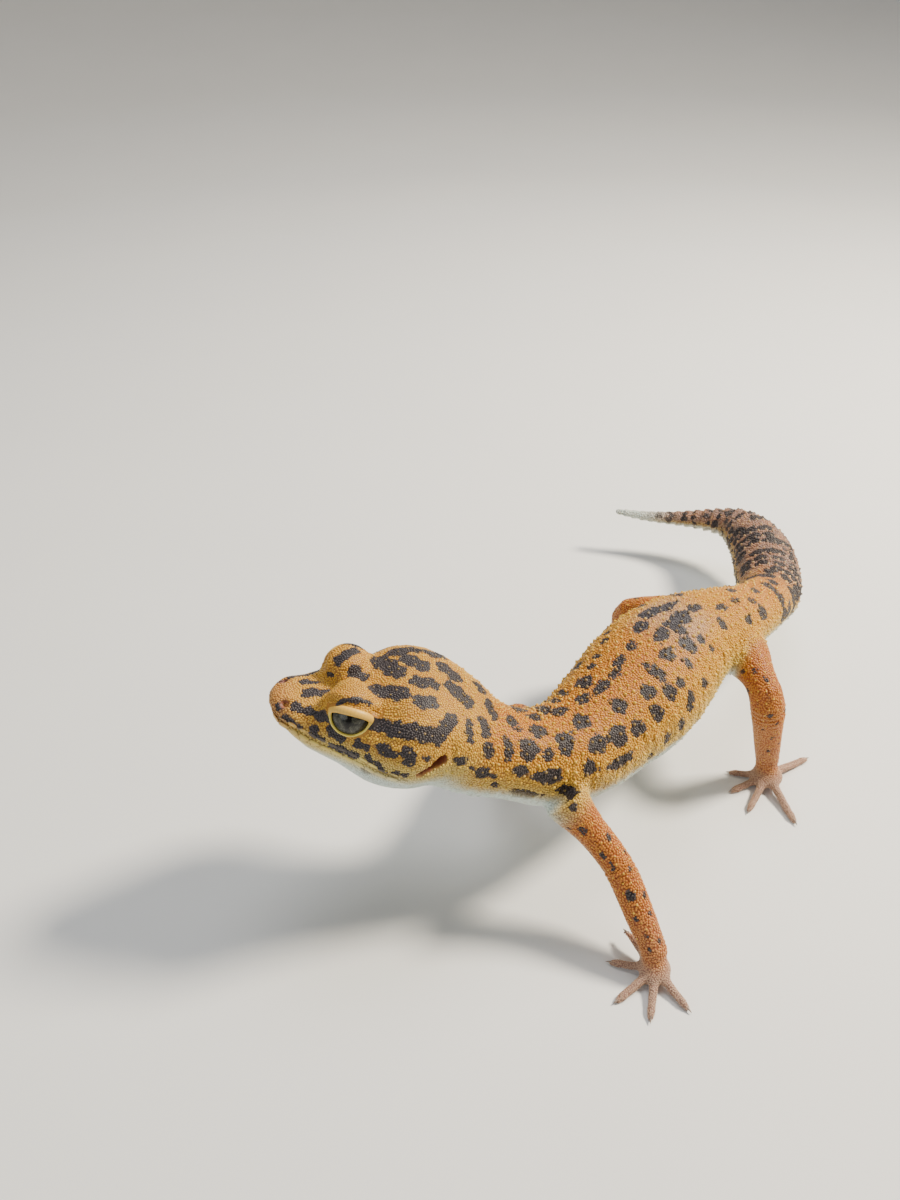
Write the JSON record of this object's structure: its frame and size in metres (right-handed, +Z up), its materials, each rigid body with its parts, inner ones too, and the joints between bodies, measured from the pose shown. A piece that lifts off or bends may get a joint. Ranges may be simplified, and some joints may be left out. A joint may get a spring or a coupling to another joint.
{
  "type": "leopard gecko",
  "caption": "Still, life-size leopard gecko standing high on its feet, head raised and turned to its right, with a fat tail that curls to its right.",
  "frame": {"origin": "middle of the bounding box in X and Y, on the floor that the feet stand on", "axes": "+X along the trunk towards the head, +Y to the animal's left, +Z up"},
  "size_m": [0.1428, 0.0878, 0.0475],
  "materials": {
    "body_skin": "dry granular skin with dark spots and pale conical tubercles",
    "tail_skin": "dry ringed skin, mottled grey brown",
    "limb_skin": "dry finely scaled skin",
    "foot_skin": "thin pinkish skin with small claws",
    "eye": "wet, clear and glossy, with an upright slit pupil"
  },
  "bodies": {
    "root": {"eye_left": "eye", "eye_right": "eye", "foot_left": "foot_skin", "foot_right": "foot_skin", "forearm_left": "limb_skin", "forearm_right": "limb_skin", "hand_left": "foot_skin", "hand_right": "foot_skin", "head": "body_skin", "lower_jaw": "body_skin", "neck": "body_skin", "shank_left": "limb_skin", "shank_right": "limb_skin", "tail_base": "tail_skin", "tail_middle": "tail_skin", "tail_tip": "tail_skin", "thigh_left": "limb_skin", "thigh_right": "limb_skin", "trunk": "body_skin", "upper_arm_left": "limb_skin", "upper_arm_right": "limb_skin"}
  },
  "joints": []
}
